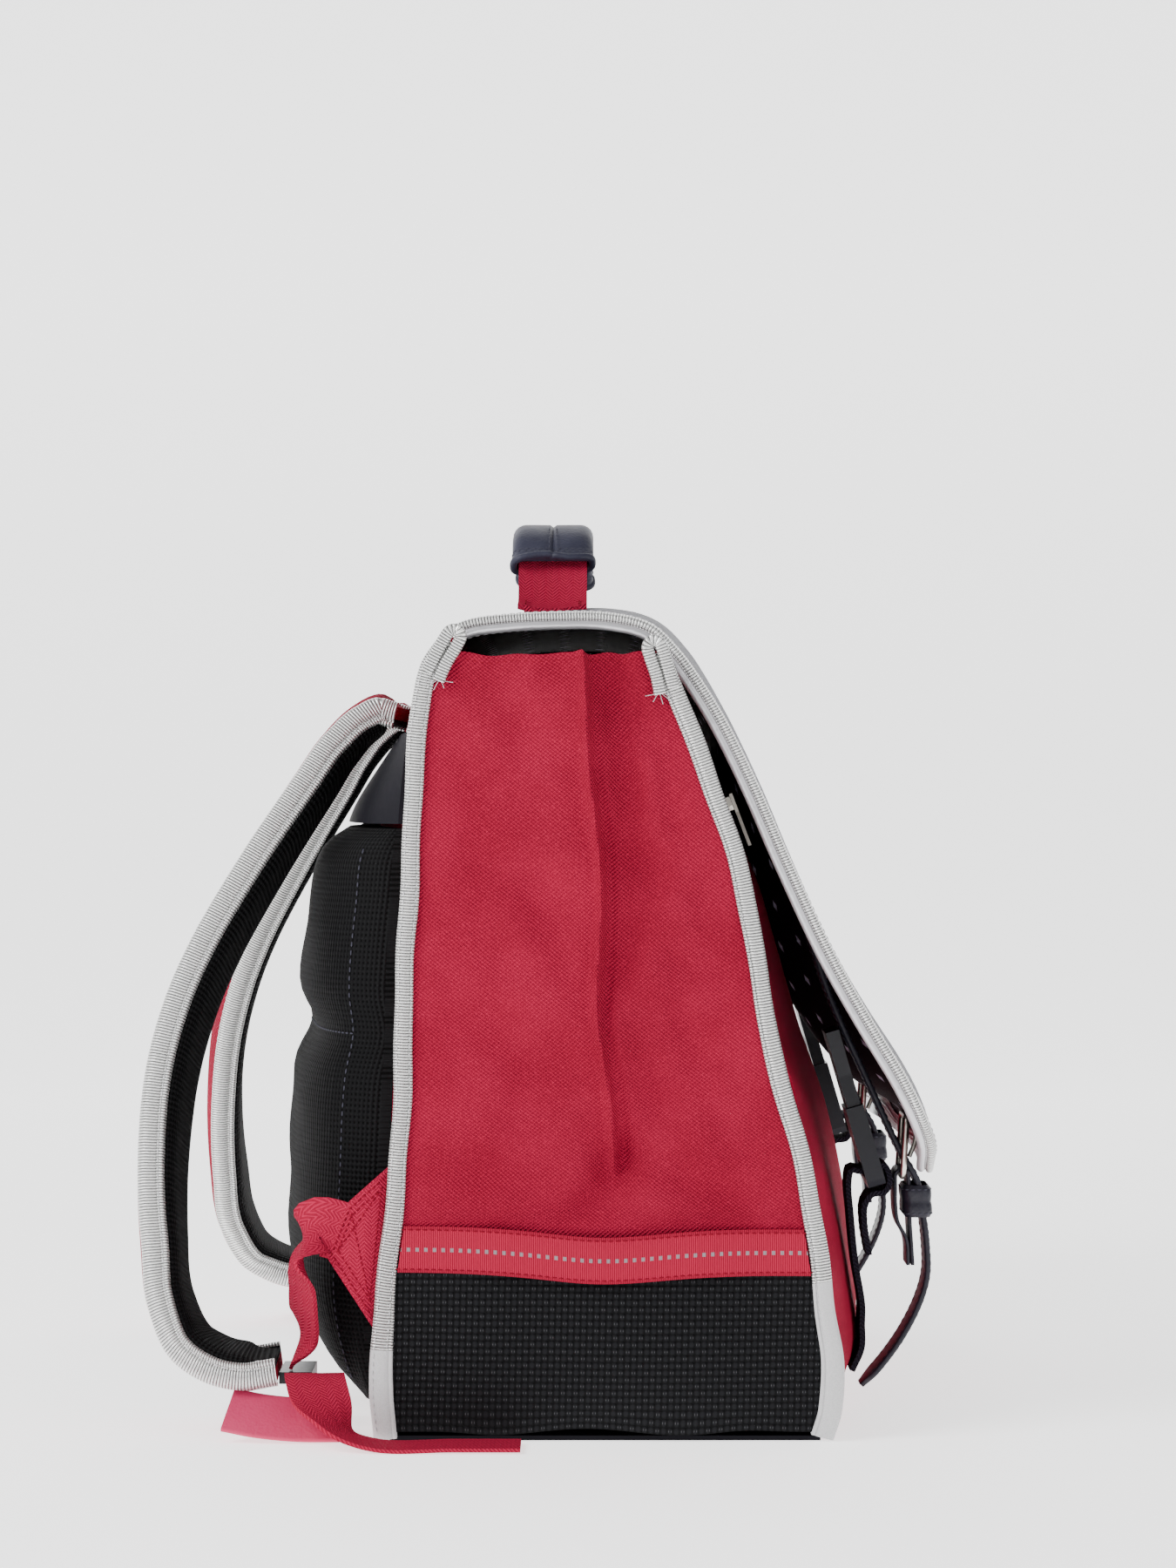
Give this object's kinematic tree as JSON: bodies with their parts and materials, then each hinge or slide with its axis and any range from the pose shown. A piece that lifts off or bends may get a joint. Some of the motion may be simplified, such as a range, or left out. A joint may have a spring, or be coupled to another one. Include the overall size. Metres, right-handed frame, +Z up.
{
  "type": "school ransel",
  "caption": "Stiff school satchel worn on the back: full flap, canvas gussets, bound edges, padded back, two shoulder straps and buckled leather belts.",
  "frame": {"origin": "middle of the base's underside, on the floor", "axes": "+X across the width, -Y towards the front with the flap, +Y towards the wearer's back, +Z up"},
  "size_m": [0.4762, 0.3511, 0.3964],
  "materials": {
    "canvas_red": "woven",
    "webbing_red": "woven",
    "silver_tape": "ribbed",
    "base_weave": "coarse weave",
    "mesh_black": "mesh",
    "lining_dark": "printed",
    "leather_navy": "satin",
    "webbing_navy": "woven",
    "plastic_navy": "satin",
    "metal": "satin",
    "pink": "smooth"
  },
  "bodies": {
    "root": {"adjuster_left": "plastic_navy", "adjuster_right": "plastic_navy", "anchor_tab_left": "webbing_red", "anchor_tab_right": "webbing_red", "back_binding_left": "silver_tape", "back_binding_right": "silver_tape", "back_pad_left": "mesh_black", "back_pad_right": "mesh_black", "back_panel": "canvas_red", "back_yoke": "mesh_black", "base_panel": "base_weave", "belt_left": "leather_navy", "belt_right": "leather_navy", "buckle_left": "metal", "buckle_right": "metal", "buckle_tab_left": "leather_navy", "buckle_tab_right": "leather_navy", "clip_lower_left": "plastic_navy", "clip_lower_right": "plastic_navy", "clip_upper_left": "plastic_navy", "clip_upper_right": "plastic_navy", "clip_webbing_left": "webbing_navy", "clip_webbing_right": "webbing_navy", "flap": "leather_navy", "flap_binding": "silver_tape", "flap_lining": "lining_dark", "front_binding_left": "silver_tape", "front_binding_right": "silver_tape", "front_panel": "canvas_red", "front_pocket": "canvas_red", "gusset_left": "canvas_red", "gusset_right": "canvas_red", "handle_grip": "leather_navy", "handle_webbing": "webbing_red", "keeper_left": "leather_navy", "keeper_right": "leather_navy", "pocket_zip": "webbing_navy", "prong_left": "metal", "prong_right": "metal", "pull_tab_left": "pink", "pull_tab_right": "pink", "ribbon_left": "webbing_red", "ribbon_right": "webbing_red", "side_base_left": "base_weave", "side_base_right": "base_weave", "strap_binding_inner_left": "silver_tape", "strap_binding_inner_right": "silver_tape", "strap_binding_outer_left": "silver_tape", "strap_binding_outer_right": "silver_tape", "strap_left": "canvas_red", "strap_lining_left": "mesh_black", "strap_lining_right": "mesh_black", "strap_right": "canvas_red", "strap_webbing_left": "webbing_red", "strap_webbing_right": "webbing_red", "webbing_tail_left": "webbing_red", "webbing_tail_right": "webbing_red", "zip_pull": "metal", "zip_slider": "metal"}
  },
  "joints": []
}
